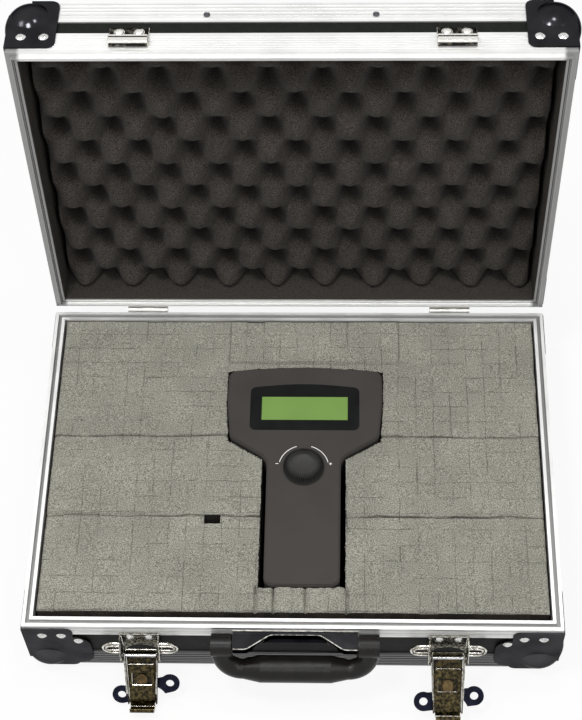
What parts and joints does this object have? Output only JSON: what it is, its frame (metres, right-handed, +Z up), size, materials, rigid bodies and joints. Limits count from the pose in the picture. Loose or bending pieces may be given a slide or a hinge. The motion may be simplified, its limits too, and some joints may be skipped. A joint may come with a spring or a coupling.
{
  "type": "handheld tester in flight case",
  "caption": "Handheld electronic tester with display and knob in a foam-lined, aluminium-edged flight case with hinged lid, latches and carrying handle.",
  "frame": {"origin": "middle of the standing object's bounding box, on the floor under its ball corners, lid open", "axes": "+X to the right along the front, +Y from the front to the hinges, +Z up"},
  "size_m": [0.4528, 0.4546, 0.3966],
  "materials": {
    "laminate": "black textured laminate on plywood",
    "aluminium": "satin anodised extrusion",
    "dark_chrome": "polished dark plated steel",
    "chrome": "plated steel, slightly tarnished",
    "rivet": "bright rivet heads",
    "zinc": "zinc plated",
    "steel": "plain steel",
    "screw": "dark oxide screws",
    "tarnish": "tarnished plated stud",
    "key_steel": "dark blue-black plated",
    "black_plastic": "moulded black plastic",
    "grey_foam": "open-cell grey foam",
    "dark_foam": "open-cell charcoal foam",
    "pad_foam": "dark foam pad",
    "lining": "thin dark cloth lining",
    "tester_shell": "soft-touch warm dark grey",
    "tester_rear": "soft-touch warm dark grey",
    "gloss_black": "gloss black bezel",
    "display": "green character display",
    "module": "display module",
    "board": "printed circuit board",
    "knob_black": "fluted black knob",
    "battery": "plain battery",
    "connector": "black connector body"
  },
  "bodies": {
    "base": {"base_bottom_panel": "laminate", "base_wall_panels": "laminate", "base_rim_extrusions": "aluminium", "base_edge_extrusions": "aluminium", "base_ball_corners": "dark_chrome", "base_rivets": "rivet", "foam_base_pad": "pad_foam", "pluck_foam": "grey_foam", "hinge_base_leaves": "zinc", "hinge_pins": "zinc", "handle_bracket": "dark_chrome", "handle_pins": "steel", "latch_brackets": "chrome", "latch_rivets": "rivet", "latch_pivot_rods": "steel", "latch_springs": "chrome"},
    "lid": {"lid_top_panel": "laminate", "lid_wall_panels": "laminate", "lid_rim_extrusions": "aluminium", "lid_edge_extrusions": "aluminium", "lid_ball_corners": "dark_chrome", "lid_rivets": "rivet", "lid_screws": "screw", "hinge_lid_leaves": "zinc", "keepers": "chrome", "lid_lining": "lining", "lid_foam": "dark_foam"},
    "handle": {"handle_grip": "black_plastic"},
    "tester": {"tester_front_shell": "tester_shell", "tester_rear_shell": "tester_rear", "display_bezel": "gloss_black", "display_window": "display", "display_module": "module", "circuit_board": "board", "knob_encoder": "steel", "battery": "battery", "battery_cover": "tester_rear", "output_socket": "connector", "input_plug": "connector", "socket_screws": "screw", "tester_case_screws": "screw"},
    "knob": {"tester_knob": "knob_black"},
    "left_latch": {"left_latch_arm": "chrome"},
    "left_hook": {"left_hook_plate": "chrome"},
    "left_key": {"left_key_stud": "tarnish", "left_key_pin": "steel"},
    "left_wing": {"left_butterfly_key": "key_steel"},
    "right_latch": {"right_latch_arm": "chrome"},
    "right_hook": {"right_hook_plate": "chrome"},
    "right_key": {"right_key_stud": "tarnish", "right_key_pin": "steel"},
    "right_wing": {"right_butterfly_key": "key_steel"}
  },
  "joints": [
    {"name": "lid_hinge", "type": "hinge", "parent": "base", "child": "lid", "pos_m": [0, 0.14, 0.0793], "axis": [-1, 0, 0], "range_deg": [-94.4, 0]},
    {"name": "handle_swing", "type": "hinge", "parent": "base", "child": "handle", "pos_m": [0.003, -0.1825, 0.0682], "axis": [1, 0, 0], "range_deg": [-90, 0]},
    {"name": "tester_lift", "type": "slide", "parent": "base", "child": "tester", "axis": [0, 0, 1], "range_m": [0, 0.12]},
    {"name": "knob_spin", "type": "hinge", "parent": "tester", "child": "knob", "pos_m": [0.0075, -0.0245, 0.0822], "axis": [0, 0, 1], "continuous": true},
    {"name": "left_latch_swing", "type": "hinge", "parent": "base", "child": "left_latch", "pos_m": [-0.125, -0.1825, 0.0462], "axis": [1, 0, 0], "range_deg": [-142, 0]},
    {"name": "left_key_turn", "type": "hinge", "parent": "left_latch", "child": "left_key", "pos_m": [-0.125, -0.19536, 0.02325], "axis": [0, 0.788, -0.6157], "range_deg": [0, 180]},
    {"name": "left_hook_slide", "type": "slide", "parent": "left_latch", "child": "left_hook", "axis": [0, -0.6157, -0.788], "range_m": [0, 0.006]},
    {"name": "left_key_fold", "type": "hinge", "parent": "left_key", "child": "left_wing", "pos_m": [-0.125, -0.19299, 0.0214], "axis": [0.9659, 0.1593, 0.204], "range_deg": [0, 90]},
    {"name": "right_latch_swing", "type": "hinge", "parent": "base", "child": "right_latch", "pos_m": [0.128, -0.1825, 0.0462], "axis": [1, 0, 0], "range_deg": [-126, 0]},
    {"name": "right_key_turn", "type": "hinge", "parent": "right_latch", "child": "right_key", "pos_m": [0.128, -0.20118, 0.02768], "axis": [0, 0.5878, -0.809], "range_deg": [0, 180]},
    {"name": "right_hook_slide", "type": "slide", "parent": "right_latch", "child": "right_hook", "axis": [0, -0.809, -0.5878], "range_m": [0, 0.006]},
    {"name": "right_key_fold", "type": "hinge", "parent": "right_key", "child": "right_wing", "pos_m": [0.128, -0.19942, 0.02525], "axis": [0.9925, 0.0986, 0.0716], "range_deg": [0, 90]}
  ],
  "couplings": [
    {"joint": "left_hook_slide", "follows": "left_key_turn", "m_per_rad": 0.0019099},
    {"joint": "right_hook_slide", "follows": "right_key_turn", "m_per_rad": 0.0019099}
  ]
}
